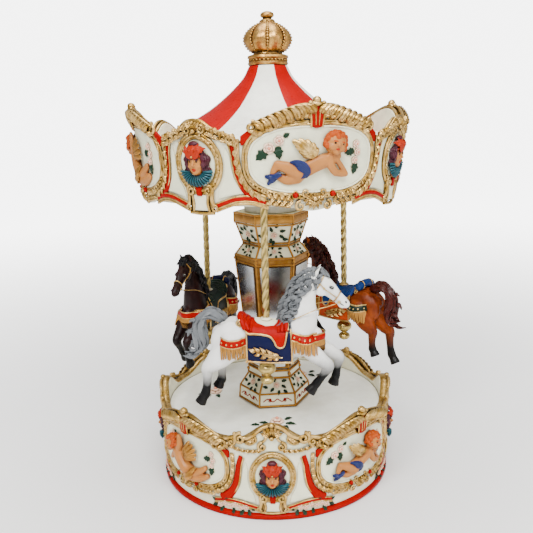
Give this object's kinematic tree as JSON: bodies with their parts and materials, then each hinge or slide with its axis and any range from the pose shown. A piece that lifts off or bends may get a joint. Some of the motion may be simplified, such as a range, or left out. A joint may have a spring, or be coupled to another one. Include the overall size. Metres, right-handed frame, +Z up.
{
  "type": "carousel music box",
  "caption": "Tabletop carousel music box: resin base with wind-up movement, mirrored hexagonal column and a turning canopy with rising horses.",
  "frame": {"origin": "centre of the underside of the base", "axes": "+Z up along the central shaft, -Y towards the front, where the white horse stands at rest"},
  "size_m": [0.1742, 0.1742, 0.3055],
  "materials": {
    "ivory_resin": "satin ivory paint on cast resin, with painted relief",
    "gold_resin": "antique gold paint on cast resin, brown wash in the hollows",
    "roof_enamel": "gloss red and ivory stripes",
    "grey_resin": "plain grey resin",
    "mirror_glass": "silvered glass",
    "brass": "polished brass, lightly tarnished",
    "steel": "plain steel",
    "white_horse_resin": "gloss white paint, legs shaded to black",
    "brown_horse_resin": "chestnut paint with dark mane",
    "black_horse_resin": "near-black brown paint"
  },
  "bodies": {
    "base": {"base_shell": "ivory_resin", "base_deck": "ivory_resin", "bottom_plate": "grey_resin", "plate_screw_1": "steel", "plate_screw_2": "steel", "plate_screw_3": "steel", "column_foot": "ivory_resin", "column_shaft": "gold_resin", "column_capital": "ivory_resin", "column_mirror_1": "mirror_glass", "column_mirror_2": "mirror_glass", "column_mirror_3": "mirror_glass", "column_mirror_4": "mirror_glass", "column_mirror_5": "mirror_glass", "column_mirror_6": "mirror_glass", "column_tube": "brass", "crown_gear": "brass", "movement_bedplate": "brass", "comb": "steel", "comb_screw_1": "steel", "comb_screw_2": "steel", "movement_screw_1": "steel", "movement_screw_2": "steel", "governor_frame": "brass"},
    "canopy": {"cornice_ring": "gold_resin", "roof_shell": "roof_enamel", "canopy_floor": "ivory_resin", "canopy_hub": "grey_resin", "crown_finial": "gold_resin", "spring_barrel": "brass", "drive_shaft": "steel", "pole_bush_white": "brass", "crank_bracket_white": "steel", "pole_bush_brown": "brass", "crank_bracket_brown": "steel", "pole_bush_black": "brass", "crank_bracket_black": "steel"},
    "cylinder": {"music_cylinder": "brass", "cylinder_pinion": "steel"},
    "governor": {"governor_fan": "steel"},
    "winding": {"winding_key": "steel", "winding_arbor": "steel"},
    "crank_body_white": {"crank_white": "steel", "crank_pinion_white": "brass"},
    "rider_white": {"yoke_white": "steel", "pole_white": "brass", "pole_finial_white": "brass", "horse_white": "white_horse_resin"},
    "crank_body_brown": {"crank_brown": "steel", "crank_pinion_brown": "brass"},
    "rider_brown": {"yoke_brown": "steel", "pole_brown": "brass", "pole_finial_brown": "brass", "horse_brown": "brown_horse_resin"},
    "crank_body_black": {"crank_black": "steel", "crank_pinion_black": "brass"},
    "rider_black": {"yoke_black": "steel", "pole_black": "brass", "pole_finial_black": "brass", "horse_black": "black_horse_resin"}
  },
  "joints": [
    {"name": "canopy_turn", "type": "hinge", "parent": "base", "child": "canopy", "pos_m": [0, 0, 0.2], "axis": [0, 0, 1], "continuous": true},
    {"name": "cylinder_turn", "type": "hinge", "parent": "base", "child": "cylinder", "pos_m": [0.03, 0, 0.033], "axis": [1, 0, 0], "continuous": true},
    {"name": "governor_turn", "type": "hinge", "parent": "base", "child": "governor", "pos_m": [0.034, 0.015, 0.03], "axis": [0, 0, 1], "continuous": true},
    {"name": "key_turn", "type": "hinge", "parent": "base", "child": "winding", "pos_m": [0, 0, 0.01], "axis": [0, 0, 1], "continuous": true},
    {"name": "crank_turn_white", "type": "hinge", "parent": "canopy", "child": "crank_body_white", "pos_m": [-0.00293, -0.03989, 0.214], "axis": [-0.0732, -0.9973, 0], "continuous": true},
    {"name": "horse_lift_white", "type": "slide", "parent": "canopy", "child": "rider_white", "axis": [0, 0, 1], "range_m": [-0.0039, 0.0013]},
    {"name": "crank_turn_brown", "type": "hinge", "parent": "canopy", "child": "crank_body_brown", "pos_m": [0.03601, 0.01741, 0.214], "axis": [0.9003, 0.4352, 0], "continuous": true},
    {"name": "horse_lift_brown", "type": "slide", "parent": "canopy", "child": "rider_brown", "axis": [0, 0, 1], "range_m": [-0.0039, 0.0013]},
    {"name": "crank_turn_black", "type": "hinge", "parent": "canopy", "child": "crank_body_black", "pos_m": [-0.03308, 0.02248, 0.214], "axis": [-0.8271, 0.5621, 0], "continuous": true},
    {"name": "horse_lift_black", "type": "slide", "parent": "canopy", "child": "rider_black", "axis": [0, 0, 1], "range_m": [0, 0.0052]}
  ],
  "couplings": [
    {"joint": "cylinder_turn", "follows": "canopy_turn", "ratio": 3},
    {"joint": "governor_turn", "follows": "canopy_turn", "ratio": 12},
    {"joint": "crank_turn_white", "follows": "canopy_turn", "ratio": -3},
    {"joint": "crank_turn_brown", "follows": "canopy_turn", "ratio": -3},
    {"joint": "crank_turn_black", "follows": "canopy_turn", "ratio": -3}
  ]
}
